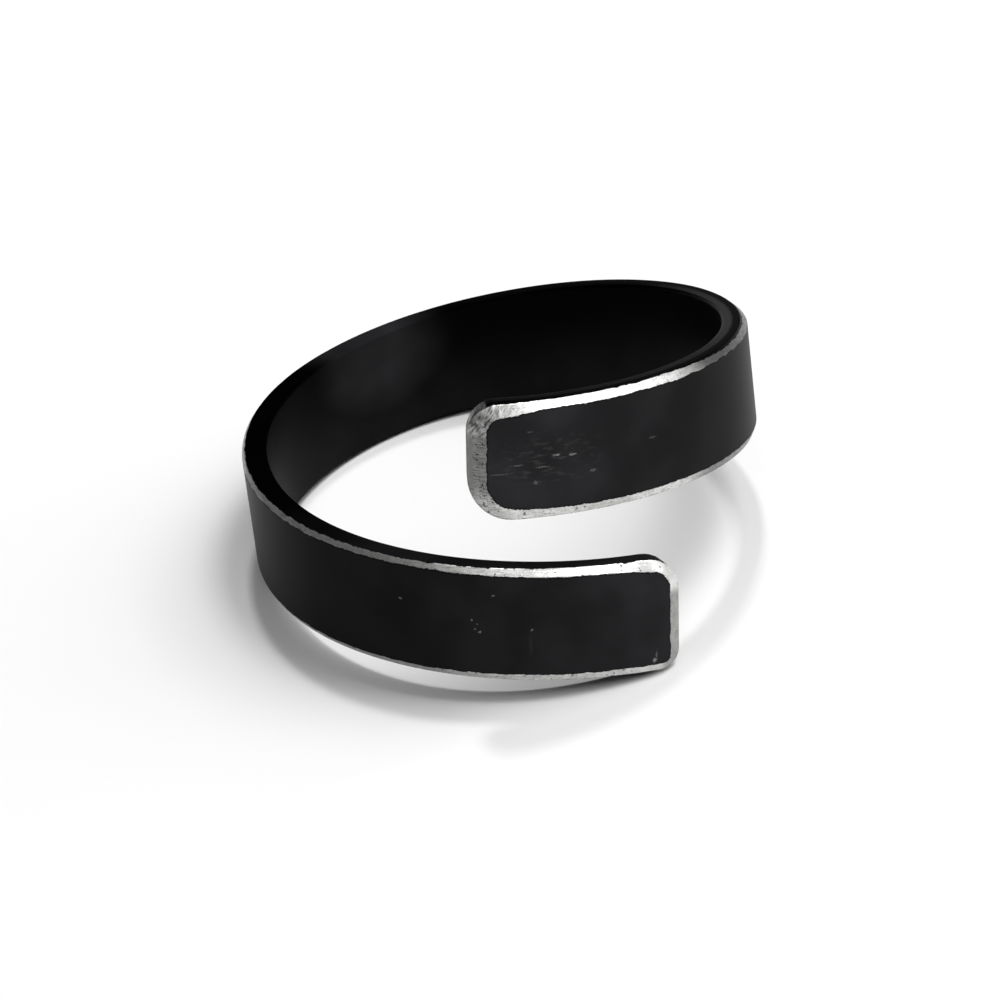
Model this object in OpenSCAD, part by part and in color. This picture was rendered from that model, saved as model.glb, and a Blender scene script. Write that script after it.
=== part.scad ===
// Open band ring: one flat metal strip wound a little more than once round the finger.
// Its two ends pass each other at the front with a gap between them, so the ring can be opened or closed.
// The outer edges are filed to a bevel, and the ends are rounded and filed wider.
// The ring is modelled as it lies on a table: z = 0 is the table, and the origin is under the middle of the ring.

/* [Strip] */
// Width of the strip
strip_w = 4.5; // [3.5:0.1:5]
// Thickness of the strip
strip_t = 1; // [0.8:0.1:1.2]
// Rounding of the inner edges
inner_round = 0.2; // [0.1:0.05:0.25]

/* [Bend] */
// Inside diameter of the middle stretch, where the finger sits
inside_d = 18.2; // [16:0.1:22]
// Inside diameter of the two arms, which are opened a little wider
arm_d = 21; // [20:0.1:24]
// Turn of the middle stretch, in degrees
middle_turn = 150; // [120:1:170]
// Turn of the low arm, in degrees
low_turn = 120; // [90:1:125]
// Turn of the high arm, in degrees
high_turn = 114; // [90:0.5:120]
// Climb of the strip as it goes round, in degrees
climb = 5.8; // [5:0.1:9]
// Direction of the middle of the middle stretch, in degrees from +X
middle_az = 99; // [90:1:110]

/* [Filed edges] */
// Height of the bevel on the lower edge
low_bevel_h = 0.32; // [0.1:0.01:0.4]
// Depth of the bevel on the lower edge
low_bevel_d = 0.15; // [0.1:0.01:0.3]
// Length of the bevel at the low end
low_end_bevel_l = 0.58; // [0.3:0.01:0.9]
// Length of the bevel at the high end
high_end_bevel_l = 0.7; // [0.3:0.01:0.85]
// Depth of the bevel at the ends
end_bevel_d = 0.35; // [0.2:0.01:0.5]

/* [Lie] */
// Lean of the ring's own axis away from the front, in degrees
lean_back = 10.6; // [9:0.1:12]
// Lean of the ring's own axis towards the right, in degrees
lean_right = 1.3; // [0:0.1:3]

/* [Hidden] */
$fn = 240;
step_l = 0.6; // length between the sections along the strip
corner_l = 2; // length at each end that holds the rounded corners
corner_n = 6; // steps round each corner
spare = 0.02; // how far the middle stretch stands proud before it is cut round
spare_turn = 4.5; // turn of that cut past each end of the middle stretch

half_w = strip_w / 2;
middle_r = inside_d / 2 + strip_t; // outer radius of the middle stretch
arm_r = arm_d / 2 + strip_t; // outer radius of the arms
low_h = low_turn * PI / 180 * arm_r; // lengths of the three stretches, seen from above
middle_h = middle_turn * PI / 180 * middle_r;
high_h = high_turn * PI / 180 * arm_r;
strip_l = (low_h + middle_h + high_h) / cos(climb);
low_az = middle_az + middle_turn / 2; // where the middle stretch meets the low arm
high_az = middle_az - middle_turn / 2; // where it meets the high arm

// Corner radii of the strip's outline and of its black face, each on the lower and the upper edge
LOW_END_R = [0.85, 1.5];
LOW_END_FACE_R = [0.35, 0.75];
HIGH_END_R = [1.65, 1.15];
HIGH_END_FACE_R = [1.1, 0.65];

// Bevels along the strip, by share of its length from the low end. The filing is lightest round the back.
BEVELS = [
    // share, height on the upper edge, depth on the upper edge, height on the lower edge
    [0.00, 0.42, 0.27, low_bevel_h],
    [0.02, 0.36, 0.27, low_bevel_h],
    [0.04, 0.26, 0.27, low_bevel_h],
    [0.06, 0.26, 0.27, low_bevel_h],
    [0.21, 0.10, 0.08, low_bevel_h],
    [0.45, 0.10, 0.08, low_bevel_h],
    [0.65, 0.26, 0.27, low_bevel_h],
    [0.93, 0.26, 0.27, low_bevel_h],
    [0.96, 0.26, 0.27, 0.38],
    [0.98, 0.45, 0.27, 0.45],
    [1.00, 0.45, 0.27, 0.45]
];

function bevel(column, l) = lookup(l / strip_l, [for (row = BEVELS) [row[0], row[column]]]);
function bevel_h(side, l) = bevel(side == 0 ? 3 : 1, l);
function bevel_d(side, l) = side == 0 ? low_bevel_d : bevel(2, l);
function heading(az) = [cos(az), sin(az)];
function mix(a, b, share) = a + (b - a) * share;

low_centre = (middle_r - arm_r) * heading(low_az);
high_centre = (middle_r - arm_r) * heading(high_az);

// Sections along the strip: the corner of the low end, the plain stretch, the corner of the high end
plain_n = round((strip_l - 2 * corner_l) / step_l);
last = 2 * corner_n + plain_n + 2;
function corner_turn(k) = 90 * min(k, last - k) / corner_n;
function plain_l(k) = mix(corner_l, strip_l - corner_l, (k - corner_n - 1) / plain_n);

// Whether a section crosses the middle stretch
function in_middle(l) =
    let (
        h = l * cos(climb),
        reach = half_w * sin(climb) + step_l
    )
    h > low_h - reach && h < low_h + middle_h + reach;

// Outline point of one layer at section k: place along the strip and across it.
// r is the layer's corner radius at that end, edge_in and end_in its distance inside the strip's outline.
function outline(k, side, r, edge_in, end_in) =
    let (
        corner = min(k, last - k) <= corner_n,
        a = corner_turn(k),
        along = end_in + r * (1 - cos(a)),
        across = half_w - edge_in - (corner ? r * (1 - sin(a)) : 0),
        l = !corner ? plain_l(k) : k <= corner_n ? along : strip_l - along
    )
    [l, side == 0 ? -across : across];

// Layers of one side's edge at section k, from the outer face inwards: place along, place across, depth
function layers(k, side) =
    let (
        low = k < last / 2,
        corner = min(k, last - k) <= corner_n,
        edge_share = corner ? corner_turn(k) / 90 : 1,
        l = corner ? (low ? 0 : strip_l) : plain_l(k),
        r = (low ? LOW_END_R : HIGH_END_R)[side],
        face_r = (low ? LOW_END_FACE_R : HIGH_END_FACE_R)[side],
        rim = mix(end_bevel_d, bevel_d(side, l), edge_share),
        soft = inner_round * (1 - cos(45)),
        proud = in_middle(l) ? spare : 0,
        end_bevel_l = low ? low_end_bevel_l : high_end_bevel_l,
        face_p = outline(k, side, face_r, bevel_h(side, l), end_bevel_l),
        rim_p = outline(k, side, r, 0, 0),
        soft_p = outline(k, side, r - soft, soft, soft),
        inner_p = outline(k, side, r - inner_round, inner_round, inner_round)
    )
    [
        concat(mix(rim_p, face_p, 1 + proud / rim), -proud),
        concat(rim_p, rim),
        concat(rim_p, strip_t - inner_round),
        concat(soft_p, strip_t - soft),
        concat(mix(soft_p, inner_p, 1 + proud / soft), strip_t + proud)
    ];

// Bends a point of the flat strip round the finger
function bent(p) =
    let (
        h = p[0] * cos(climb) - p[1] * sin(climb),
        z = p[0] * sin(climb) + p[1] * cos(climb),
        on_low = h < low_h,
        on_high = h > low_h + middle_h,
        r = on_low || on_high ? arm_r : middle_r,
        start_h = on_high ? low_h + middle_h : low_h,
        az = (on_high ? high_az : low_az) - (h - start_h) / r * 180 / PI,
        centre = on_low ? low_centre : on_high ? high_centre : [0, 0],
        place = centre + (r - p[2]) * heading(az)
    )
    [place[0], place[1], z];

function backwards(list) = [for (i = [len(list) - 1:-1:0]) list[i]];
function section(k) = [for (p = concat(layers(k, 0), backwards(layers(k, 1)))) bent(p)];

// Solid through all the sections
module swept() {
    ring_n = len(section(0));
    points = [for (k = [0:last]) each section(k)];
    sides = [for (k = [0:last - 1], j = [0:ring_n - 1])
        let (a = k * ring_n, b = a + ring_n, next = (j + 1) % ring_n) [a + j, a + next, b + next, b + j]];
    low_cap = [for (j = [0:ring_n / 2 - 2]) [j, ring_n - 1 - j, ring_n - 2 - j, j + 1]];
    high_cap = [for (face = low_cap) [for (i = backwards(face)) i + last * ring_n]];
    polyhedron(points, concat(sides, low_cap, high_cap));
}

// Sector of a round block, as wide as the middle stretch and a little more
module sector(r) {
    translate([0, 0, -half_w - strip_t])
        rotate([0, 0, high_az - spare_turn])
        rotate_extrude(angle = middle_turn + 2 * spare_turn)
        square([r, strip_l * sin(climb) + strip_w + 2 * strip_t]);
}

// The strip bent round the finger, with the two walls of its middle stretch cut truly round
module bent_strip() {
    difference() {
        swept();
        difference() {
            sector(middle_r + strip_t);
            cylinder(h = strip_l, r = middle_r, center = true);
        }
        sector(middle_r - strip_t);
    }
}

// Place of a point of the ring once its axis leans
function leaned(p) =
    let (
        y = p[1] * cos(lean_back) + p[2] * sin(lean_back),
        z = p[2] * cos(lean_back) - p[1] * sin(lean_back)
    )
    [p[0] * cos(lean_right) + z * sin(lean_right), y, z * cos(lean_right) - p[0] * sin(lean_right)];

LEANED = [for (k = [0:last], p = section(k)) leaned(p)];
function extent(axis) = let (values = [for (p = LEANED) p[axis]]) [min(values), max(values)];
function middle(axis) = (extent(axis)[0] + extent(axis)[1]) / 2;

// The ring lies on its lower edge, on the low end's corner and on the far side of the middle stretch
module band() color("#1c1c1d") {
    translate([-middle(0), -middle(1), -extent(2)[0]])
        rotate([-lean_back, lean_right, 0])
        bent_strip();
}

band();
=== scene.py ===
# %% [markdown]
# # An open band ring in black anodised aluminium
#
# The ring is one flat strip of aluminium, a little longer than the way round a finger. It was rounded
# and filed while it was flat, anodised black, filed bare along its edges and then wound up. The lesson
# follows that order, so that every step has an operator of its own. The strip is modelled lying flat on a
# bench that is measured in millimetres, then bent, and only at the end brought to metres.

# %% Frame
import math

import bmesh
import bpy
import numpy as np
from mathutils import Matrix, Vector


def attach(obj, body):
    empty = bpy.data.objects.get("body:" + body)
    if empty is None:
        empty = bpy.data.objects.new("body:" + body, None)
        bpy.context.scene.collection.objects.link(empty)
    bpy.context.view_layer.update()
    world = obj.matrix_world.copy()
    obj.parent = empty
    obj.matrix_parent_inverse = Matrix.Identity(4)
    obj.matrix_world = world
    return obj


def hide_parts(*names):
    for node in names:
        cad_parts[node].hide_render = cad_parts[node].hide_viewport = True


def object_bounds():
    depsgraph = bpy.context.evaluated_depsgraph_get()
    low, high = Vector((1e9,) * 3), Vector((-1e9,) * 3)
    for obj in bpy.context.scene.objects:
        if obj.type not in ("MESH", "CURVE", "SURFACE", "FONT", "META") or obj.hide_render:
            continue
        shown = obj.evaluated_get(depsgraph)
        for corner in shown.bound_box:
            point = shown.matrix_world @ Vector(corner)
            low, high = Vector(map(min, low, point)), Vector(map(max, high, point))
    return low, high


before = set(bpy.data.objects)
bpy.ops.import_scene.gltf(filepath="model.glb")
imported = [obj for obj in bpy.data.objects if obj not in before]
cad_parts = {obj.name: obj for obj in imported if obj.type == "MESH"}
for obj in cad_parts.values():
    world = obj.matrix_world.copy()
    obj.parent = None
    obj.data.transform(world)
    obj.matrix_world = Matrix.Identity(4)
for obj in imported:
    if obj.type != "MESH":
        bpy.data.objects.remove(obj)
cad_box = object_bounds()
MM = 0.001
print("CAD box in mm:", [[round(v / MM, 3) for v in corner] for corner in cad_box])

# %% [markdown]
# The sizes are those of the real strip. The filing along the two long edges isn't even: it is light
# round the back of the ring and heavier towards the ends, so it is kept as a table of places along the
# strip. Between two places the bevel changes evenly.

# %% Sizes of the strip
# The middle stretch is bent tighter than the two arms. AZ is the azimuth of its middle, and H is the
# length of an arc seen from above, which the climb leaves a little shorter than the strip in it.
STRIP_W = 4.5
STRIP_T = 1.0
INNER_ROUND = 0.12
HALF_W = STRIP_W / 2
MIDDLE_R = 18.2 / 2 + STRIP_T
ARM_R = 21 / 2 + STRIP_T
MIDDLE_TURN = math.radians(150)
LOW_TURN = math.radians(120)
HIGH_TURN = math.radians(114)
MIDDLE_AZ = math.radians(99)
CLIMB = math.radians(5.8)
LOW_H = LOW_TURN * ARM_R
MIDDLE_H = MIDDLE_TURN * MIDDLE_R
STRIP_L = (LOW_H + MIDDLE_H + HIGH_TURN * ARM_R) / math.cos(CLIMB)

# Corner radii of the strip and of its black face: (low end, high end) on the lower and on the upper edge
CORNER_R = {-1: (0.85, 1.65), 1: (1.5, 1.15)}
FACE_CORNER_R = {-1: (0.35, 1.1), 1: (0.75, 0.65)}
END_BEVEL_L = (0.58, 0.7)
END_BEVEL_D = 0.35

# Place along the strip, then height and depth of the bevel on the upper edge, then on the lower edge
FILING = np.array([
    (0.00, 0.42, 0.27, 0.32, 0.15),
    (1.50, 0.42, 0.27, 0.32, 0.15),
    (2.00, 0.32, 0.27, 0.32, 0.15),
    (2.95, 0.26, 0.27, 0.32, 0.15),
    (4.43, 0.26, 0.27, 0.30, 0.15),
    (11.0, 0.18, 0.16, 0.22, 0.12),
    (24.0, 0.14, 0.12, 0.18, 0.10),
    (30.0, 0.10, 0.08, 0.22, 0.12),
    (36.0, 0.13, 0.12, 0.32, 0.15),
    (48.0, 0.26, 0.27, 0.32, 0.15),
    (68.6, 0.26, 0.27, 0.32, 0.15),
    (70.8, 0.26, 0.27, 0.38, 0.15),
    (71.8, 0.38, 0.27, 0.43, 0.15),
    (72.1, 0.45, 0.27, 0.45, 0.15),
    (STRIP_L, 0.45, 0.27, 0.45, 0.15),
])


def filed(place, side, what):
    """Height or depth of the bevel at a place along the strip, on side 1 (upper) or -1 (lower)."""
    column = {"height": 0, "depth": 1}[what] + (1 if side > 0 else 3)
    return np.interp(place, FILING[:, 0], FILING[:, column])


print("Strip: %.2f mm long, %.1f wide and %.1f thick" % (STRIP_L, STRIP_W, STRIP_T))

# %% [markdown]
# Blender's operators act on what is selected. These helpers select edges or faces of the piece in hand
# by where they are, which is what a person does with the mouse.

# %% Selecting by place
TINY = 1e-3


def edit(piece, kind):
    """Edit mode on one piece, with nothing selected."""
    if bpy.context.mode != "OBJECT":
        bpy.ops.object.mode_set(mode="OBJECT")
    bpy.ops.object.select_all(action="DESELECT")
    bpy.context.view_layer.objects.active = piece
    piece.select_set(True)
    bpy.ops.object.mode_set(mode="EDIT")
    bpy.ops.mesh.select_mode(type=kind)
    bpy.ops.mesh.select_all(action="DESELECT")
    bpy.ops.object.mode_set(mode="OBJECT")


def pick_edges(piece, wanted):
    """Selects the edges whose two ends the test wanted accepts, and leaves the piece in edit mode."""
    edit(piece, "EDGE")
    points = piece.data.vertices
    for edge in piece.data.edges:
        if wanted(points[edge.vertices[0]].co, points[edge.vertices[1]].co):
            edge.select = True
    bpy.ops.object.mode_set(mode="EDIT")


def pick_faces(piece, wanted):
    """Selects the faces that the test wanted accepts, and leaves the piece in edit mode."""
    edit(piece, "FACE")
    for face in piece.data.polygons:
        if wanted(face):
            face.select = True
    bpy.ops.object.mode_set(mode="EDIT")


def object_mode():
    bpy.ops.object.mode_set(mode="OBJECT")


def near(a, b):
    return abs(a - b) < TINY


print("Two places are one when they are within %.3f mm" % TINY)

# %% [markdown]
# ## The blank
# A strip like this is sheared from sheet. Lying flat it is a box: X runs along the strip, Z across it,
# and Y points out of the ring, with the outer face at Y = 0. A cube primitive given its size is the
# natural start, because all four sides stay flat.

# %% Blank
bpy.ops.object.select_all(action="DESELECT")
bpy.ops.mesh.primitive_cube_add(
    size=1, location=(STRIP_L / 2, -STRIP_T / 2, 0), scale=(STRIP_L, STRIP_T, STRIP_W))
band = bpy.context.active_object
band.name = "band_strip"
bpy.ops.object.transform_apply(location=True, rotation=True, scale=True)
print("Blank:", [round(v, 2) for v in band.dimensions])

# %% [markdown]
# ## Rounded ends
# The four corners were filed round, each to its own radius. A bevel of the short edge at each corner
# does the same, and ten steps keep the arc smooth.

# %% Rounded ends
for side in (-1, 1):
    for end in (0, 1):
        x = end * STRIP_L
        z = side * HALF_W
        pick_edges(band, lambda a, b: near(a.x, x) and near(b.x, x) and near(a.z, z) and near(b.z, z))
        r = CORNER_R[side][end]
        bpy.ops.mesh.bevel(offset=r, offset_type="OFFSET", segments=10, profile=0.5, affect="EDGES")
        object_mode()
print("After rounding the ends:", len(band.data.vertices), "vertices")

# %% [markdown]
# ## Cuts across
# A straight strip needs cuts across it before it can bend or before its bevel can change along the way.
# Bisect makes one straight cut at a time. They are 0.2 mm apart, fine enough that no flat shows on the
# bent ring, and they start just past the round corners.

# %% Cuts across
CUT_STEP = 0.2
FIRST_CUT = 1.8
cuts = np.linspace(FIRST_CUT, STRIP_L - FIRST_CUT, round((STRIP_L - 2 * FIRST_CUT) / CUT_STEP) + 1)
edit(band, "FACE")
bpy.ops.object.mode_set(mode="EDIT")
for x in cuts:
    bpy.ops.mesh.select_all(action="SELECT")
    bpy.ops.mesh.bisect(plane_co=(x, 0, 0), plane_no=(1, 0, 0))
object_mode()
print("After the cuts:", len(band.data.vertices), "vertices")

# %% [markdown]
# ## Filed bevels
# The file took the black off along both edges and round the ends. Two insets of the whole outer face
# make the loops for it: the border of the black, and a guard loop just inside it, which keeps the
# distances that the finish reads exact beside the border. An inset is even all round and the filing
# isn't, so each vertex is then moved to where the filing table has it: the two loops inwards, the
# outline down into the edge.

# %% Filed bevels
GUARD = 0.2
INSET = 0.05


def corner_of(x, z):
    """Side, end and angle round the corner of a point on the outline. The angle is 90 off the corner."""
    side = 1 if z > 0 else -1
    end = 0 if x < STRIP_L / 2 else 1
    r = CORNER_R[side][end]
    from_end = x if end == 0 else STRIP_L - x
    if from_end >= r - TINY / 10:
        return side, end, 90.0
    return side, end, math.degrees(math.atan2(abs(z) - (HALF_W - r), r - from_end))


def loop_point(x, z, inside):
    """Point of the face's border, or of a loop a little inside it, for a point of the outline."""
    side, end, angle = corner_of(x, z)
    turn = math.radians(angle)
    from_end = min(x, STRIP_L - x)
    if from_end > CORNER_R[side][end] + TINY:
        return x, 0, side * (HALF_W - filed(x, side, "height") - inside)
    r = FACE_CORNER_R[side][end] - inside
    along = END_BEVEL_L[end] + inside + r * (1 - math.cos(turn))
    across = HALF_W - filed(end * STRIP_L, side, "height") - inside - r * (1 - math.sin(turn))
    return (along if end == 0 else STRIP_L - along), 0, side * across


def next_loop_out(piece, loop, inside):
    """For each vertex of a loop, the vertex of the next loop out that an edge joins it to."""
    pairs = {}
    for edge in piece.data.edges:
        a, b = edge.vertices
        for own, other in ((a, b), (b, a)):
            if own in loop and other not in loop and other not in inside:
                pairs[own] = other
    return pairs


pick_faces(band, lambda face: face.normal.y > 0.9)
for loop in ("border", "guard"):
    bpy.ops.mesh.inset(thickness=INSET, use_boundary=True, use_even_offset=False)
object_mode()
guard = {i for face in band.data.polygons if face.select for i in face.vertices}
border_of = next_loop_out(band, guard, set())
outline_of = next_loop_out(band, set(border_of.values()), guard)
for inner, border in border_of.items():
    rim_point = band.data.vertices[outline_of[border]].co
    side, end, angle = corner_of(rim_point.x, rim_point.z)
    share = angle / 90
    depth = END_BEVEL_D * (1 - share) + filed(rim_point.x, side, "depth") * share
    band.data.vertices[border].co = loop_point(rim_point.x, rim_point.z, 0)
    band.data.vertices[inner].co = loop_point(rim_point.x, rim_point.z, GUARD)
    rim_point.y = -depth
print("Vertices moved to the filing table:", len(border_of), "of each loop")

# %% [markdown]
# The inner edges, which touch the finger, are rounded by a bevel of the inner wall's boundary. The outer
# edges of the filed bands are crisp, but no real edge is perfectly sharp: the thin bright line that the
# light draws along it comes from a rounding of a few hundredths of a millimetre. The file rolled further
# over the edge at the two ends. A Bevel modifier that reads a weight from each edge does both at once.

# %% Rounded inner edges and softened outer edges
# Size of the rounding at the ends and elsewhere, the two distances from an end between which it
# changes, and the angle from which an edge is softened
ROLLED = 0.13
CRISP = 0.03
ROLL_FADE = (0.6, 1.7)
SHARP = math.radians(24)
pick_faces(band, lambda face: face.normal.y < -0.9)
bpy.ops.mesh.region_to_loop()
bpy.ops.mesh.bevel(offset=INNER_ROUND, offset_type="OFFSET", segments=4, profile=0.5, affect="EDGES")
object_mode()
work = bmesh.new()
work.from_mesh(band.data)
weight = work.edges.layers.float.new("bevel_weight_edge")
for edge in work.edges:
    middle = (edge.verts[0].co + edge.verts[1].co) / 2
    if edge.calc_face_angle(0) > SHARP:
        from_end = min(middle.x, STRIP_L - middle.x)
        at_rim = middle.y < -0.01
        edge[weight] = np.interp(from_end, ROLL_FADE, (1, CRISP / ROLLED)) if at_rim else CRISP / ROLLED
work.to_mesh(band.data)
work.free()
soften = band.modifiers.new("soften", "BEVEL")
soften.width = ROLLED
soften.segments = 3
soften.limit_method = "WEIGHT"
soften.use_clamp_overlap = False
bpy.ops.object.modifier_apply(modifier=soften.name)
print("After softening:", len(band.data.vertices), "vertices")

# %% [markdown]
# The two ends of each wall are still single large faces, because the cuts across stopped short of the
# round corners. They are cut now, alone, so that the cuts don't run through the bevel.

# %% Cuts in the end faces
FIRST_END_CUT = 0.3
MERGE = 0.0002
END_CUTS = np.arange(FIRST_END_CUT, FIRST_CUT, CUT_STEP)
for x in list(END_CUTS) + list(STRIP_L - END_CUTS):
    def crosses(face):
        reach = [band.data.vertices[i].co.x for i in face.vertices]
        return abs(face.normal.y) > 0.999 and min(reach) < x - TINY and max(reach) > x + TINY
    pick_faces(band, crosses)
    bpy.ops.mesh.bisect(plane_co=(x, 0, 0), plane_no=(1, 0, 0))
    object_mode()
edit(band, "VERT")
bpy.ops.object.mode_set(mode="EDIT")
bpy.ops.mesh.select_all(action="SELECT")
bpy.ops.mesh.remove_doubles(threshold=MERGE)
object_mode()
print("After the end cuts:", len(band.data.polygons), "faces")

# %% [markdown]
# ## Where the black ends
# The finish follows the filing, so the mesh carries four distances for it: file_mm is how far a point is
# past the border of the black face, rim_mm how far it is past the outer edge of the bevel, down the side,
# end_mm how far it is from the nearer end and depth_mm how deep it lies under the outer face. A UV map
# holds the place along and across the strip in millimetres, for marks that run lengthwise. All of it is
# written while the strip is flat, when it is easy to measure.

# %% Finish map
# No corner reaches PAST_CORNERS from its end. Points deeper than INNER_PART are well past both lines.
PAST_CORNERS = 1.7
NEAR_RIM = 0.05
INNER_PART = 0.6
INNER_RIM_MM = 0.2
INNER_FILE_MM = 0.3


def rounded_box(x, z, ends, halves, radii):
    """Distance outside an outline with four corner radii, for arrays of points. Negative is inside."""
    high_end = x > STRIP_L / 2
    upper = z > 0
    upper_r = np.where(high_end, radii[1][1], radii[1][0])
    lower_r = np.where(high_end, radii[-1][1], radii[-1][0])
    r = np.where(upper, upper_r, lower_r)
    from_end = np.where(high_end, STRIP_L - ends[1] - x, x - ends[0])
    past_x = r - from_end
    past_z = np.abs(z) - np.where(upper, halves[1], halves[-1]) + r
    outside = np.hypot(np.maximum(past_x, 0), np.maximum(past_z, 0))
    return np.minimum(np.maximum(past_x, past_z), 0) + outside - r


def write_attribute(piece, name, values):
    attribute = piece.data.attributes.new(name, "FLOAT", "POINT")
    attribute.data.foreach_set("value", values.astype(np.float32))


count = len(band.data.vertices)
flat = np.empty(count * 3, np.float32)
band.data.vertices.foreach_get("co", flat)
flat = flat.reshape(count, 3).astype(float)
along, out, across = flat.T
depth = -out
face_halves = {side: HALF_W - filed(along, side, "height") for side in (-1, 1)}
to_rim = rounded_box(along, across, (0, 0), {-1: HALF_W, 1: HALF_W}, CORNER_R)
to_border = rounded_box(along, across, END_BEVEL_L, face_halves, FACE_CORNER_R)
band_w = np.maximum(to_border - to_rim, TINY)
upper = across > 0
side_depth = np.where(upper, filed(along, 1, "depth"), filed(along, -1, "depth"))
from_end = np.minimum(along, STRIP_L - along)
corner = [corner_of(x, z)[2] if e < PAST_CORNERS else 90.0 for x, z, e in zip(along, across, from_end)]
share = np.clip(corner, 0, 90) / 90
rim_depth = END_BEVEL_D * (1 - share) + side_depth * share
slant = np.hypot(band_w, rim_depth)
part_way = np.clip(to_border / band_w, 0, 1)
down = depth - rim_depth
file_mm = np.where(to_border <= 0, to_border, slant * part_way)
rim_mm = np.where(to_rim > -NEAR_RIM, np.maximum(down, -NEAR_RIM), -slant * (1 - part_way))
rim_mm = np.where(depth > INNER_PART, np.maximum(down, INNER_RIM_MM), rim_mm)
file_mm = np.where(depth > INNER_PART, slant + INNER_FILE_MM, file_mm)
write_attribute(band, "file_mm", np.clip(file_mm, -0.5, 2))
write_attribute(band, "rim_mm", rim_mm)
write_attribute(band, "end_mm", from_end)
write_attribute(band, "depth_mm", depth)

strip_map = band.data.uv_layers[0]
strip_map.name = "strip_mm"
for loop in band.data.loops:
    point = flat[loop.vertex_index]
    strip_map.data[loop.index].uv = (point[0], point[2])
print("Bevel band: %.2f to %.2f mm wide" % (slant.min(), slant.max()))

# %% [markdown]
# ## The sheared edge
# Sheared strip is never perfectly even. In the photo the lower edge round the back lies a little lower
# than an even strip would put it, enough to close the gap behind the high arm, so that edge is drawn
# down by less than a tenth of a millimetre. At the low end, where the ring lies on its edge, the edge is
# worn by less than two hundredths. The change comes after the finish map, which it leaves alone.

# %% Lower edge
EDGE_PLACES = (0, 2.5, 4, 36.5, 41, 47, 51)
EDGE_DROP = (-0.016, -0.016, 0, 0, 0.09, 0.09, 0)
EDGE_REACH = 0.35
moved = 0
for vertex in band.data.vertices:
    drop = np.interp(vertex.co.x, EDGE_PLACES, EDGE_DROP)
    if vertex.co.z < -HALF_W + EDGE_REACH and drop != 0:
        vertex.co.z -= drop
        moved += 1
print("Vertices of the lower edge moved:", moved)

# %% [markdown]
# ## Bending
# A strip is wound round a mandrel. A Curve modifier does that here: it lays the strip's X axis along a
# path and keeps its width upright. The path is the winding itself, three arcs that run into each other
# and climb all the way, so the two ends pass each other at the front. It leads on for a millimetre past
# both ends. Smooth shading then hides the cuts, and a Weighted Normal modifier lets the large flats set
# it, so the narrow roundings don't shade them.

# %% Winding
PATH_STEP = 0.1
LEAD = 1.0


def on_winding(place):
    """Point of the outer face's middle line, at a place along the strip."""
    h = place * math.cos(CLIMB)
    low_az = MIDDLE_AZ + MIDDLE_TURN / 2
    high_az = MIDDLE_AZ - MIDDLE_TURN / 2
    if h < LOW_H:
        centre_az, r, az = low_az, ARM_R, low_az - (h - LOW_H) / ARM_R
    elif h > LOW_H + MIDDLE_H:
        centre_az, r, az = high_az, ARM_R, high_az - (h - LOW_H - MIDDLE_H) / ARM_R
    else:
        centre_az, r, az = low_az, MIDDLE_R, low_az - (h - LOW_H) / MIDDLE_R
    shift = MIDDLE_R - r
    x = shift * math.cos(centre_az) + r * math.cos(az)
    y = shift * math.sin(centre_az) + r * math.sin(az)
    return x, y, place * math.sin(CLIMB)


steps = round((STRIP_L + 2 * LEAD) / PATH_STEP)
winding_data = bpy.data.curves.new("winding", "CURVE")
winding_data.dimensions = "3D"
winding_data.twist_mode = "Z_UP"
line = winding_data.splines.new("POLY")
line.points.add(steps)
for i, point in enumerate(line.points):
    point.co = (*on_winding(-LEAD + i * (STRIP_L + 2 * LEAD) / steps), 1)
winding = bpy.data.objects.new("winding", winding_data)
bpy.context.collection.objects.link(winding)

band.location.x = LEAD
bend = band.modifiers.new("bend", "CURVE")
bend.object = winding
bend.deform_axis = "POS_X"
bpy.ops.object.select_all(action="DESELECT")
bpy.context.view_layer.objects.active = band
band.select_set(True)
bpy.ops.object.modifier_apply(modifier=bend.name)
bpy.ops.object.transform_apply(location=True, rotation=True, scale=True)
bpy.data.objects.remove(winding)
bpy.ops.object.shade_smooth()
evener = band.modifiers.new("even_shading", "WEIGHTED_NORMAL")
bpy.ops.object.modifier_apply(modifier=evener.name)
print("Wound:", [round(v, 2) for v in band.dimensions])

# %% [markdown]
# ## Lying on the table
# The ring lies on its lower edge, on the low end's corner and the far side, so its own axis leans back a
# little. The lean is that of the CAD frame, and so is the shift, to two thousandths of a millimetre.
# This mesh bends more smoothly than the CAD solid, whose flats cut the arcs short by a few thousandths,
# so it is trimmed by half a thousandth of its size to stay inside the CAD box. Then everything is
# brought to metres. The transform is applied, which leaves the object at the origin with its place in
# its mesh.

# %% Lean and metres
# Degrees about X, Y and Z, and millimetres along them
LEAN = (-10.6, 1.3, 0)
SHIFT = (-0.14580, 0.33053, 0.34366)
TRIM = 0.9995
band.rotation_euler = [math.radians(angle) for angle in LEAN]
bpy.ops.object.transform_apply(location=False, rotation=True, scale=False)
band.location = SHIFT
bpy.ops.object.transform_apply(location=True, rotation=False, scale=False)
box_middle = [(cad_box[0][i] + cad_box[1][i]) / 2 / MM for i in range(3)]
band.scale = (TRIM, TRIM, TRIM)
band.location = [(1 - TRIM) * v for v in box_middle]
bpy.ops.object.transform_apply(location=True, rotation=False, scale=True)
band.scale = (MM, MM, MM)
bpy.ops.object.transform_apply(location=False, rotation=False, scale=True)
low = [min(v.co[i] for v in band.data.vertices) / MM for i in range(3)]
high = [max(v.co[i] for v in band.data.vertices) / MM for i in range(3)]
print("Ring box in mm:", [round(v, 3) for v in low], [round(v, 3) for v in high])
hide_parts("band")
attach(band, "root")

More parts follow.
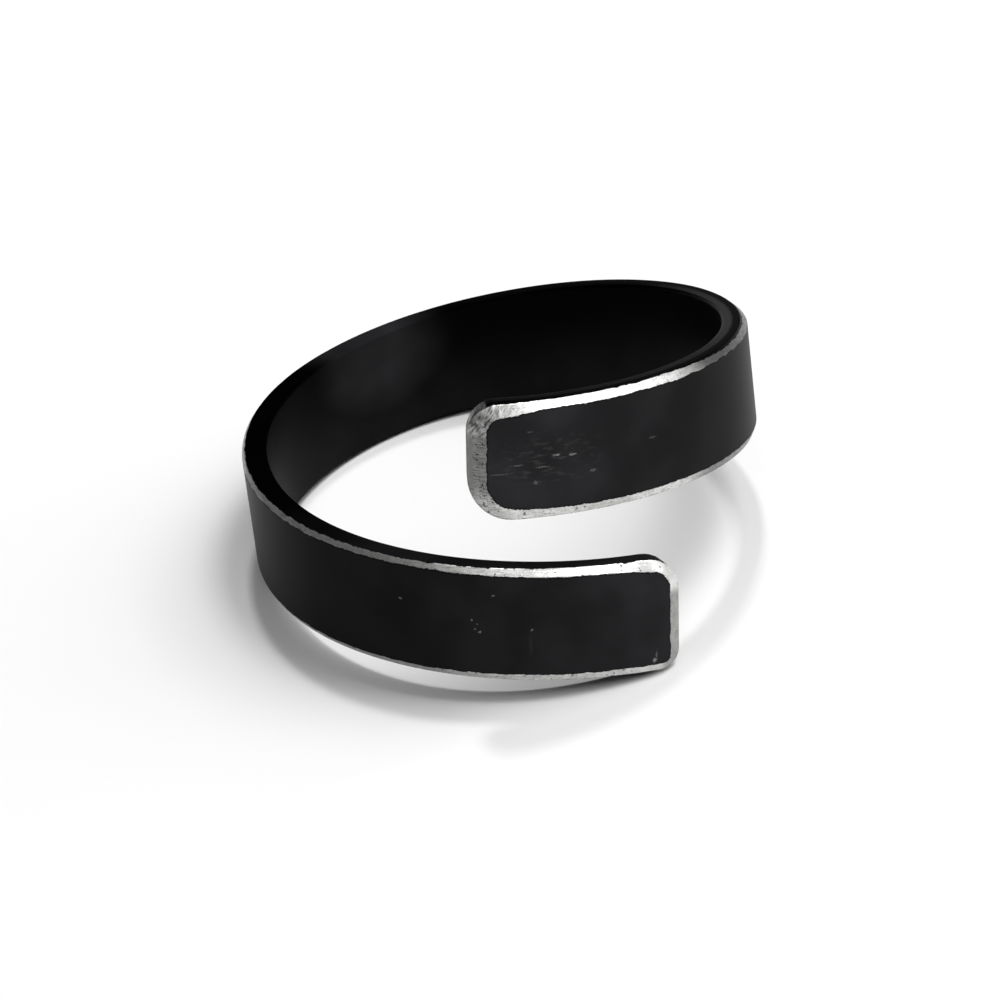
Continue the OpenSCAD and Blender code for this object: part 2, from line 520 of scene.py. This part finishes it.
# %% [markdown]
# ## Finish
# Black anodising is a thin, hard, dyed layer grown on the aluminium. It keeps the satin of the metal
# under it and hides its shine, so to the eye it is a deep black with a soft gloss. Where the file went,
# bare aluminium shows: bright, with fine marks. Two materials with a line between them would need the
# line as an edge of the mesh, and the real line is ragged. So one material holds both, as two states of
# one surface, and a mask from the finish map says where each is.

# %% Colour and node helper
def linear(hex_colour):
    """A colour written as sRGB hex, turned to the linear values that the shader works in."""
    values = [int(hex_colour[i:i + 2], 16) / 255 for i in (1, 3, 5)]
    return [v / 12.92 if v <= 0.04045 else ((v + 0.055) / 1.055) ** 2.4 for v in values] + [1.0]


finish = bpy.data.materials.new("anodised_and_filed_aluminium")
finish.use_nodes = True
tree = finish.node_tree
tree.nodes.clear()


def add_node(kind, inputs=None, output=0, **settings):
    """Adds a node with its settings, sets or links its inputs by name or number, and gives one output."""
    node = tree.nodes.new("ShaderNode" + kind)
    for name, value in settings.items():
        setattr(node, name, value)
    for name, value in (inputs or {}).items():
        if isinstance(value, bpy.types.NodeSocket):
            tree.links.new(value, node.inputs[name])
        else:
            node.inputs[name].default_value = value
    return node.outputs[output]


print("Material:", finish.name)

# %% [markdown]
# ## Reading the finish map
# Patterns that have no direction, such as grain, read Object coordinates, which are in metres here, so a
# grain of 0.05 mm needs a scale of 20,000. Marks that run along the strip read the strip's own UV map,
# which bends with it. The four distances come from the mesh, point by point.
#
# Inputs are named by their number where the name says less. In Map Range, 1 and 2 are the range that is
# read and 3 and 4 what it becomes, which is 0 to 1 where nothing is said. In Mix, 0 is the share of the
# second thing, 2 and 3 are two numbers that it mixes, and 6 and 7 are two colours.

# %% Coordinates and distances
def per_metre(grain_mm):
    """Scale of a pattern on Object coordinates, for a grain of that many millimetres."""
    return 1 / (grain_mm * MM)


def per_mark(length_mm, width_mm):
    """Scale of a pattern on the strip's map, for marks of that length and width in millimetres."""
    return 1 / length_mm, 1 / width_mm, 1


SOFT = {"interpolation_type": "SMOOTHSTEP"}
place = add_node("TexCoord", output="Object")
strip_place = add_node("UVMap", uv_map="strip_mm")
along_mm = add_node("SeparateXYZ", {0: strip_place})
across_mm = along_mm.node.outputs[1]
past_border = add_node("Attribute", output="Fac", attribute_name="file_mm")
past_rim = add_node("Attribute", output="Fac", attribute_name="rim_mm")
from_end_mm = add_node("Attribute", output="Fac", attribute_name="end_mm")
depth_mm = add_node("Attribute", output="Fac", attribute_name="depth_mm")
print("Grain of 0.05 mm has a scale of", round(per_metre(0.05)))

# %% [markdown]
# ## Where it is bare
# A file leaves a ragged line in the black: it strays slowly by a few hundredths of a millimetre, and a
# little more in short steps. Two noises give that, and the three channels of their colour give three
# lines that stray apart. The metal is bare from the border of the black to the rim, and over nearly the
# whole thickness for a millimetre at the two ends, less at their upper corners. On the right the file
# stopped short of the upper rim.

# %% Bare mask
coarse = add_node("TexNoise", {"Vector": place, "Scale": per_metre(0.45), "Detail": 2.0}, "Color")
coarse = add_node("SeparateColor", {0: coarse}).node.outputs
fine = add_node("TexNoise", {"Vector": place, "Scale": per_metre(0.1), "Detail": 2.0}, "Color")
fine = add_node("SeparateColor", {0: fine}).node.outputs


def ragged(distance, channel):
    """A distance in mm with the straying of a filed line added."""
    slow = add_node("MapRange", {0: coarse[channel], 3: -0.07, 4: 0.07})
    short = add_node("MapRange", {0: fine[channel], 3: -0.05, 4: 0.05})
    straying = add_node("Math", {0: slow, 1: short}, operation="ADD")
    return add_node("Math", {0: distance, 1: straying}, operation="ADD")


border_at = ragged(past_border, 0)
after_border = add_node("MapRange", {0: border_at, 1: -0.008, 2: 0.012}, **SOFT)
narrow_stop = add_node("MapRange", {0: along_mm, 1: 66.0, 2: 61.0, 4: 0.12}, **SOFT)
on_upper = add_node("MapRange", {0: across_mm, 1: 0.0, 2: 1.0}, **SOFT)
narrower = add_node("Math", {0: narrow_stop, 1: on_upper}, operation="MULTIPLY")
narrow_start = add_node("MapRange", {0: along_mm, 1: 40.0, 2: 46.0}, **SOFT)
narrower = add_node("Math", {0: narrower, 1: narrow_start}, operation="MULTIPLY")
narrower = add_node("Math", {0: past_rim, 1: narrower}, operation="ADD")
before_rim = add_node("MapRange", {0: ragged(narrower, 1), 1: 0.012, 2: -0.008}, **SOFT)
filed_band = add_node("Math", {0: after_border, 1: before_rim}, operation="MULTIPLY")
at_corner = add_node("MapRange", {0: across_mm, 1: 0.8, 2: 1.4, 4: 0.5}, **SOFT)
past_end = add_node("Math", {0: ragged(from_end_mm, 2), 1: at_corner}, operation="ADD")
near_end = add_node("MapRange", {0: past_end, 1: 1.3, 2: 1.0}, **SOFT)
on_side = add_node("MapRange", {0: past_rim, 1: -0.02, 2: 0.0}, **SOFT)
outer_part = add_node("MapRange", {0: depth_mm, 1: 0.9, 2: 0.85}, **SOFT)
rim_side = add_node("Math", {0: on_side, 1: outer_part}, operation="MULTIPLY")
cut_end = add_node("Math", {0: near_end, 1: rim_side}, operation="MULTIPLY")
bare = add_node("Math", {0: filed_band, 1: cut_end}, operation="MAXIMUM")
print("Nodes for the bare mask:", len(tree.nodes))

# %% [markdown]
# ## File marks
# The file ran along the edges, so its fine lines do too: streaks half a millimetre long and a twentieth
# wide. Between them the metal is grainy, and it tarnishes in soft patches. Pits are where the file
# jumped. The bare metal is painted darker round the back and lighter towards the two ends: painted
# shade on its reflections.

# %% Light and dark of the bare metal
streak_place = add_node("Mapping", {"Vector": strip_place, "Scale": per_mark(0.5, 0.05)})
streaks = add_node("TexNoise", {"Vector": streak_place, "Scale": 1.0, "Detail": 3.0})
grain = add_node("TexNoise", {"Vector": place, "Scale": per_metre(0.05), "Detail": 2.0})
marks = add_node("Mix", {0: 0.5, 2: streaks, 3: grain})
high_end = add_node("MapRange", {0: along_mm, 1: STRIP_L - 1.7, 2: STRIP_L - 0.7}, **SOFT)
below_bevel = add_node("MapRange", {0: across_mm, 1: 1.95, 2: 1.65}, **SOFT)
high_end = add_node("Math", {0: high_end, 1: below_bevel}, operation="MULTIPLY")
low_end = add_node("MapRange", {0: along_mm, 1: 4.0, 2: 2.0, 4: 0.25}, **SOFT)
mark_dark = add_node("MapRange", {0: high_end, 3: 0.62, 4: 0.25})
mark_dark = add_node("Math", {0: mark_dark, 1: low_end}, operation="ADD")
mark_bright = add_node("MapRange", {0: high_end, 3: 1.0, 4: 0.68})
mark_light = add_node("MapRange", {0: marks, 1: 0.33, 2: 0.6, 3: mark_dark, 4: mark_bright}, **SOFT)
tarnish = add_node("TexNoise", {"Vector": place, "Scale": per_metre(0.3), "Detail": 3.0})
tarnish_light = add_node("MapRange", {0: tarnish, 1: 0.3, 2: 0.65, 3: 0.8}, **SOFT)
pit_noise = add_node("TexNoise", {"Vector": place, "Scale": per_metre(0.13), "Detail": 2.0})
pit_start = add_node("MapRange", {0: high_end, 3: 0.66, 4: 0.6})
pits = add_node("Math", {0: pit_noise, 1: pit_start}, operation="SUBTRACT")
pits = add_node("MapRange", {0: pits, 2: 0.05}, **SOFT)
pit_light = add_node("MapRange", {0: pits, 3: 1.0, 4: 0.25})
# Painted shade: the bare metal is darker round the back and lighter towards the two ends.
bevel_shade_high = add_node("MapRange", {0: along_mm, 1: 62.4, 2: 65.2, 3: 0.22, 4: 1.0}, **SOFT)
bevel_shade_low = add_node("MapRange", {0: along_mm, 1: 7.0, 2: 10.0, 3: 1.0, 4: 0.68}, **SOFT)
bevel_shade_back = add_node("MapRange", {0: along_mm, 1: 22.0, 2: 28.0, 3: 1.0, 4: 0.4}, **SOFT)
bevel_shade_low = add_node("Math", {0: bevel_shade_low, 1: bevel_shade_back}, operation="MULTIPLY")
painted_bevel_shade = add_node("Math", {0: bevel_shade_high, 1: bevel_shade_low}, operation="MAXIMUM")
metal_light = mark_light
for factor in (tarnish_light, pit_light, painted_bevel_shade):
    metal_light = add_node("Math", {0: metal_light, 1: factor}, operation="MULTIPLY")
print("Nodes with the file marks:", len(tree.nodes))

# %% [markdown]
# ## The two ends
# The high end was filed hardest. Its outer edge was rubbed smooth and is darker. Its upper corner was
# filed across, which shows as steep marks, light on dark. They run out over the start of the upper
# bevel, and the side under them is darker. The upright border of the low end is duller than the rest.
# All this is set by place along and across the strip.

# %% Rubbed edge and cross-filed corner
CROSS_TURN = math.radians(-35)
by_rim = add_node("MapRange", {0: past_rim, 1: -0.27, 2: -0.19}, **SOFT)
upper_part = add_node("MapRange", {0: across_mm, 1: -1.6, 2: -0.7}, **SOFT)
dull_border = add_node("Math", {0: upper_part, 1: high_end}, operation="MULTIPLY")
rubbed = add_node("Math", {0: by_rim, 1: dull_border}, operation="MULTIPLY")
cross_turned = add_node("Mapping", {"Vector": strip_place, "Rotation": (0, 0, CROSS_TURN)})
cross_place = add_node("Mapping", {"Vector": cross_turned, "Scale": per_mark(0.08, 0.3)})
cross_noise = add_node("TexNoise", {"Vector": cross_place, "Scale": 1.0, "Detail": 4.0})
cross_light = add_node("MapRange", {0: cross_noise, 1: 0.36, 2: 0.62, 3: 0.25, 4: 1.0}, **SOFT)
corner_along = add_node("MapRange", {0: along_mm, 1: STRIP_L - 2.4, 2: STRIP_L - 0.8}, **SOFT)
corner_across = add_node("MapRange", {0: across_mm, 1: 0.9, 2: 1.5}, **SOFT)
upper_corner = add_node("Math", {0: corner_along, 1: corner_across}, operation="MULTIPLY")
dull_factor = add_node("MapRange", {0: dull_border, 3: 1.0, 4: 0.62})
metal_light = add_node("Math", {0: metal_light, 1: dull_factor}, operation="MULTIPLY")
metal_light = add_node("Mix", {0: rubbed, 2: metal_light, 3: 0.3})
low_border = add_node("MapRange", {0: along_mm, 1: 1.1, 2: 0.6}, **SOFT)
below_corner = add_node("MapRange", {0: across_mm, 1: 1.15, 2: 0.7}, **SOFT)
low_dull = add_node("Math", {0: low_border, 1: below_corner}, operation="MULTIPLY")
low_factor = add_node("MapRange", {0: low_dull, 3: 1.0, 4: 0.48})
metal_light = add_node("Math", {0: metal_light, 1: low_factor}, operation="MULTIPLY")
metal_light = add_node("Mix", {0: upper_corner, 2: metal_light, 3: cross_light})
corner_side = add_node("Math", {0: upper_corner, 1: rim_side}, operation="MULTIPLY")
corner_factor = add_node("MapRange", {0: corner_side, 3: 1.0, 4: 0.4})
metal_light = add_node("Math", {0: metal_light, 1: corner_factor}, operation="MULTIPLY")
metal = add_node("Mix", {0: metal_light, 6: linear("#050505"), 7: linear("#e6e6e4")}, 2, data_type="RGBA")
print("Nodes with the two ends:", len(tree.nodes))

# %% [markdown]
# ## Scratches and specks
# Wear goes through the black in two ways. Near the high end it is rubbed, in faint short blotches along
# the strip, strongest in the middle of a patch. Single specks are knocks. Each is an oval at a place
# measured on the strip, and grain breaks its outline, so no two look alike.

# %% Damage to the black
WORN_PATCH = (70.8, 0.05, 2.9, 1.4)
SPECKS = [
    # place along, place across, half length, half width, brightness
    (70.46, 0.17, 0.17, 0.045, 0.9), (69.84, 0.10, 0.15, 0.045, 0.9), (71.99, -0.08, 0.25, 0.03, 0.45),
    (71.04, -0.23, 0.25, 0.04, 0.4), (71.26, -0.80, 0.09, 0.07, 0.45), (69.01, -0.65, 0.13, 0.06, 0.4),
    (71.46, 1.17, 0.12, 0.03, 0.4), (72.59, -0.38, 0.40, 0.03, 0.25), (66.36, 0.07, 0.20, 0.04, 0.2),
    (8.15, 0.17, 0.05, 0.05, 0.7), (7.85, -0.30, 0.06, 0.05, 0.8), (8.03, -0.18, 0.05, 0.04, 0.4),
    (7.95, 0.02, 0.04, 0.04, 0.35), (7.33, 1.23, 0.06, 0.04, 0.6), (5.90, -0.12, 0.05, 0.05, 0.7),
    (5.95, -0.75, 0.08, 0.40, 0.04), (11.0, 0.65, 0.10, 0.04, 0.7),
    (1.24, -1.72, 0.08, 0.10, 1.5), (1.16, -1.52, 0.04, 0.14, 0.35),
]


def from_oval(along, across, half_length, half_width):
    """Distance from a place on the strip, 1 at the edge of an oval round it."""
    oval_place = add_node("Mapping", {
        "Vector": strip_place, "Location": (-along / half_length, -across / half_width, 0),
        "Scale": (1 / half_length, 1 / half_width, 0)})
    return add_node("VectorMath", {0: oval_place}, "Value", operation="LENGTH")


rub_place = add_node("Mapping", {"Vector": strip_place, "Scale": per_mark(0.5, 0.15)})
rub_noise = add_node("TexNoise", {"Vector": rub_place, "Scale": 1.0, "Detail": 4.0})
rub_share = add_node("MapRange", {0: from_oval(*WORN_PATCH), 1: 1.0, 2: 0.2, 4: 0.15}, **SOFT)
damage = add_node("MapRange", {0: rub_noise, 1: 0.5, 2: 0.75, 4: rub_share}, **SOFT)
broken = add_node("MapRange", {0: grain, 1: 0.3, 2: 0.7, 3: -0.45, 4: 0.45}, **SOFT)
for *oval, brightness in SPECKS:
    speck = add_node("Math", {0: from_oval(*oval), 1: broken}, operation="ADD")
    speck = add_node("MapRange", {0: speck, 1: 1.1, 2: 0.5, 4: brightness}, **SOFT)
    damage = add_node("Math", {0: damage, 1: speck}, operation="MAXIMUM")
on_face = add_node("MapRange", {0: depth_mm, 1: 0.05, 2: 0.02}, **SOFT)
damage = add_node("Math", {0: damage, 1: on_face}, operation="MULTIPLY")
print("Specks:", len(SPECKS), "and nodes so far:", len(tree.nodes))

# %% [markdown]
# ## The black
# Anodised black isn't one tone, and most of what changes it here is painted light. The outer face is
# painted greyer towards the two ends, and so is the rim near the low end. The upper part of the inner
# wall is painted deepest, but for one painted highlight, a soft patch, and the lower part is painted a
# little greyer. The sides hidden from the camera, the outer face at the back and the inner wall at the
# front, are given a tone between these. Slow clouds show how the dye took. A thin line along the border
# is blacker. A tone of 1 gives the grey that is mixed in below and a tone of 6 gives six times its light,
# so that mix isn't clamped.

# %% Tones of the black
# Oval of the painted highlight on the inner wall: place along, place across, half length, half width
INNER_HIGHLIGHT_OVAL = (34.0, 1.3, 4.2, 3.4)
# Painted light: the outer face is greyer towards the two ends, with a middle tone round the back.
outer_painted_light_low = add_node("MapRange", {0: along_mm, 1: 0.0, 2: 16.0, 3: 6.0, 4: 0.4})
outer_painted_light_high = add_node("MapRange", {0: along_mm, 1: 61.0, 2: 71.5, 3: 0.6, 4: 6.0})
outer_painted_light = add_node("Math", {0: outer_painted_light_low, 1: outer_painted_light_high}, operation="MAXIMUM")
back_start = add_node("MapRange", {0: along_mm, 1: 20.0, 2: 28.0, 4: 2.4}, **SOFT)
back_stop = add_node("MapRange", {0: along_mm, 1: 57.0, 2: 50.0}, **SOFT)
on_back = add_node("Math", {0: back_start, 1: back_stop}, operation="MULTIPLY")
outer_painted_light = add_node("Math", {0: outer_painted_light, 1: on_back}, operation="MAXIMUM")
# Painted highlight: one soft lighter patch on the inner wall. Painted light: its lower part is greyer.
inner_painted_highlight = add_node("MapRange", {0: from_oval(*INNER_HIGHLIGHT_OVAL), 1: 1.0, 2: 0.1, 3: 0.3, 4: 15.0}, **SOFT)
inner_painted_light_low = add_node("MapRange", {0: across_mm, 1: 1.2, 2: -2.0, 3: 0.3, 4: 4.6}, **SOFT)
inner_back = add_node("MapRange", {0: along_mm, 1: 26.0, 2: 31.0}, **SOFT)
inner_painted_light_low = add_node("Math", {0: inner_painted_light_low, 1: inner_back}, operation="MULTIPLY")
inner_tone = add_node("Math", {0: inner_painted_highlight, 1: inner_painted_light_low}, operation="MAXIMUM")
inner_front = add_node("MapRange", {0: along_mm, 1: 20.0, 2: 12.0, 4: 2.4}, **SOFT)
inner_tone = add_node("Math", {0: inner_tone, 1: inner_front}, operation="MAXIMUM")
inside = add_node("MapRange", {0: depth_mm, 1: 0.05, 2: 0.15}, **SOFT)
# Painted light: the rim near the low end is greyer.
low_rim_painted_light = add_node("MapRange", {0: along_mm, 1: 18.0, 2: 8.0, 4: 6.0}, **SOFT)
low_rim_painted_light = add_node("Math", {0: low_rim_painted_light, 1: rim_side}, operation="MULTIPLY")
inner_tone = add_node("Math", {0: inner_tone, 1: low_rim_painted_light}, operation="MAXIMUM")
tone = add_node("Mix", {0: inside, 2: outer_painted_light, 3: inner_tone})
cloud_noise = add_node("TexNoise", {"Vector": place, "Scale": per_metre(2.5), "Detail": 2.0})
clouds = add_node("MapRange", {0: cloud_noise, 1: 0.3, 2: 0.7, 3: 0.75, 4: 1.25}, **SOFT)
# A thin line along the border of the black face is darker.
dark_border_line = add_node("MapRange", {0: border_at, 1: -0.07, 2: -0.02, 3: 1.0, 4: 0.35}, **SOFT)
black_light = add_node("Math", {0: tone, 1: clouds}, operation="MULTIPLY")
black_light = add_node("Math", {0: black_light, 1: dark_border_line}, operation="MULTIPLY")
black = add_node("Mix", {0: black_light, 6: linear("#000000"), 7: linear("#0e0e0f")}, 2,
                 data_type="RGBA", clamp_factor=False)
worn = add_node("Mix", {0: damage, 6: black, 7: linear("#8a8a88")}, 2, data_type="RGBA")
colour = add_node("Mix", {0: bare, 6: worn, 7: metal}, 2, data_type="RGBA")
print("Nodes with the black:", len(tree.nodes))

# %% [markdown]
# ## The surface
# Filed aluminium is a metal, but its marks scatter some light like a matt surface, so the bare part is
# metallic by 0.85. Its roughness falls where the marks are light and polished. The anodised layer has
# the roughness of satin, 0.4, and throws back very little, least on the sheared rim. Only on the right
# the inner half of the rim is polished by the finger and shows as a lighter line. The bump is a few
# thousandths of a millimetre deep, as real file marks are.

# %% Shader
METAL_SHARE = 0.85
SATIN_ROUGH = 0.4
SATIN_GLOSS = 0.03
RIM_GLOSS = 0.002
MARK_DEPTH = 0.008 * MM
metal_rough = add_node("MapRange", {0: marks, 1: 0.3, 2: 0.65, 3: 0.5, 4: 0.3}, **SOFT)
roughness = add_node("Mix", {0: bare, 2: SATIN_ROUGH, 3: metal_rough})
on_rim = add_node("MapRange", {0: depth_mm, 1: 0.995, 2: 0.97}, **SOFT)
on_rim = add_node("Math", {0: on_rim, 1: on_side}, operation="MULTIPLY")
inner_half = add_node("MapRange", {0: depth_mm, 1: 0.52, 2: 0.68}, **SOFT)
from_right = add_node("MapRange", {0: along_mm, 1: 47.0, 2: 56.0, 3: 0.001, 4: 0.035}, **SOFT)
to_front = add_node("MapRange", {0: along_mm, 1: 58.0, 2: 63.0, 3: 1.0, 4: 0.4}, **SOFT)
rim_gloss = add_node("Math", {0: from_right, 1: to_front}, operation="MULTIPLY")
rim_gloss = add_node("Mix", {0: inner_half, 2: RIM_GLOSS, 3: rim_gloss})
gloss = add_node("Mix", {0: on_rim, 2: SATIN_GLOSS, 3: rim_gloss})
metallic = add_node("Math", {0: bare, 1: METAL_SHARE}, operation="MULTIPLY")
pit_depth = add_node("MapRange", {0: pits, 3: 0.0, 4: -1.2})
metal_height = add_node("Math", {0: marks, 1: pit_depth}, operation="ADD")
satin_height = add_node("MapRange", {0: grain, 3: 1.0, 4: 1.15})
worn_depth = add_node("MapRange", {0: damage, 3: 0.0, 4: -0.6})
black_height = add_node("Math", {0: satin_height, 1: worn_depth}, operation="ADD")
height = add_node("Mix", {0: bare, 2: black_height, 3: metal_height})
relief = add_node("Bump", {"Height": height, "Distance": MARK_DEPTH, "Strength": 1.0})
shader = add_node("BsdfPrincipled", {
    "Base Color": colour, "Metallic": metallic, "Roughness": roughness, "Specular IOR Level": gloss,
    "Normal": relief})
surface_output = tree.nodes.new("ShaderNodeOutputMaterial")
tree.links.new(shader, surface_output.inputs["Surface"])
band.data.materials.clear()
band.data.materials.append(finish)
print("Finish:", len(tree.nodes), "nodes")

# %% [markdown]
# ## Floor
# The ring was photographed on white paper, which runs on past the picture on all sides. A plane of four
# metres does that. Paper is matt: rough, with almost no gloss.

# %% White paper
bpy.ops.object.select_all(action="DESELECT")
bpy.ops.mesh.primitive_plane_add(size=4, location=(0, 0, 0))
floor = bpy.context.active_object
floor.name = "floor"
paper = bpy.data.materials.new("white_paper")
paper.use_nodes = True
paper_shader = paper.node_tree.nodes["Principled BSDF"]
paper_shader.inputs["Base Color"].default_value = linear("#f4f4f4")
paper_shader.inputs["Roughness"].default_value = 0.9
paper_shader.inputs["Specular IOR Level"].default_value = 0.1
floor.data.materials.append(paper)
print("Floor:", tuple(round(v, 1) for v in floor.dimensions))

# %% [markdown]
# ## Camera
# The camera stands where the photo was taken from: straight in front, about 32 degrees above the table
# and turned by nearly nine degrees about its own axis. Its place, its direction and its lens were worked
# out from the edges of the ring in the photo. Three unit vectors say which way its right, its top and its
# back point, and with its spot they make its matrix.

# %% Camera at the photo's angle
import mathutils

camera_data = bpy.data.cameras.new("camera")
camera_data.lens = 132.997
camera_data.sensor_width = 36
camera_data.shift_x = 0.00133
camera_data.shift_y = -0.05366
camera_data.clip_start = 0.01
camera = bpy.data.objects.new("camera", camera_data)
bpy.context.collection.objects.link(camera)
right = (0.989541, -0.07021, -0.126009)
up = (0.144033, 0.528648, 0.836532)
back = (0.007881, -0.845933, 0.533232)
spot = (1.0815 * MM, -123.0504 * MM, 81.7503 * MM)
rows = [(right[i], up[i], back[i], spot[i]) for i in range(3)]
camera.matrix_world = mathutils.Matrix(rows + [(0, 0, 0, 1)])
bpy.context.scene.camera = camera
print("Camera is %.0f degrees above the table" % math.degrees(math.asin(back[2])))

# %% [markdown]
# ## Light
# Four things in the photo tell where its light came from. The broad soft shade on the left asks for a
# large soft light on the right, the blob of shade beside the low end for a smaller one above it, and the
# crisp crescent in front of the low arm for a small one high up at the back. The white upper bevels mirror
# what stands round the ring, so they ask for weak panels, high in front and low on the right. A faint even
# light stands for the room.

# %% Five soft lights and the room
LIGHT_AWAY = 0.6
ROOM_LIGHT = 0.06


def add_area(name, azimuth, elevation, size, power):
    """A square soft light that looks at the ring. Azimuth 0 is the camera's side and 90 is the right."""
    data = bpy.data.lights.new(name, "AREA")
    data.size = size
    data.energy = power
    light = bpy.data.objects.new(name, data)
    bpy.context.collection.objects.link(light)
    turn = math.radians(azimuth)
    rise = math.radians(elevation)
    level = math.cos(rise)
    towards = mathutils.Vector((math.sin(turn) * level, -math.cos(turn) * level, math.sin(rise)))
    light.location = towards * LIGHT_AWAY
    light.rotation_euler = towards.to_track_quat("Z", "Y").to_euler()


add_area("softbox", 103, 59, 0.34, 1.5)
add_area("side_key", 97, 69, 0.16, 0.66)
add_area("back_key", 168, 68.5, 0.05, 1.0)
add_area("front_fill", 15, 67, 0.5, 1.0)
add_area("low_panel", 94, 28, 0.42, 1.1)
world = bpy.data.worlds.new("studio")
world.use_nodes = True
room = world.node_tree.nodes["Background"]
room.inputs["Color"].default_value = (1, 1, 1, 1)
room.inputs["Strength"].default_value = ROOM_LIGHT
bpy.context.scene.world = world
bpy.context.scene.view_settings.view_transform = "Standard"
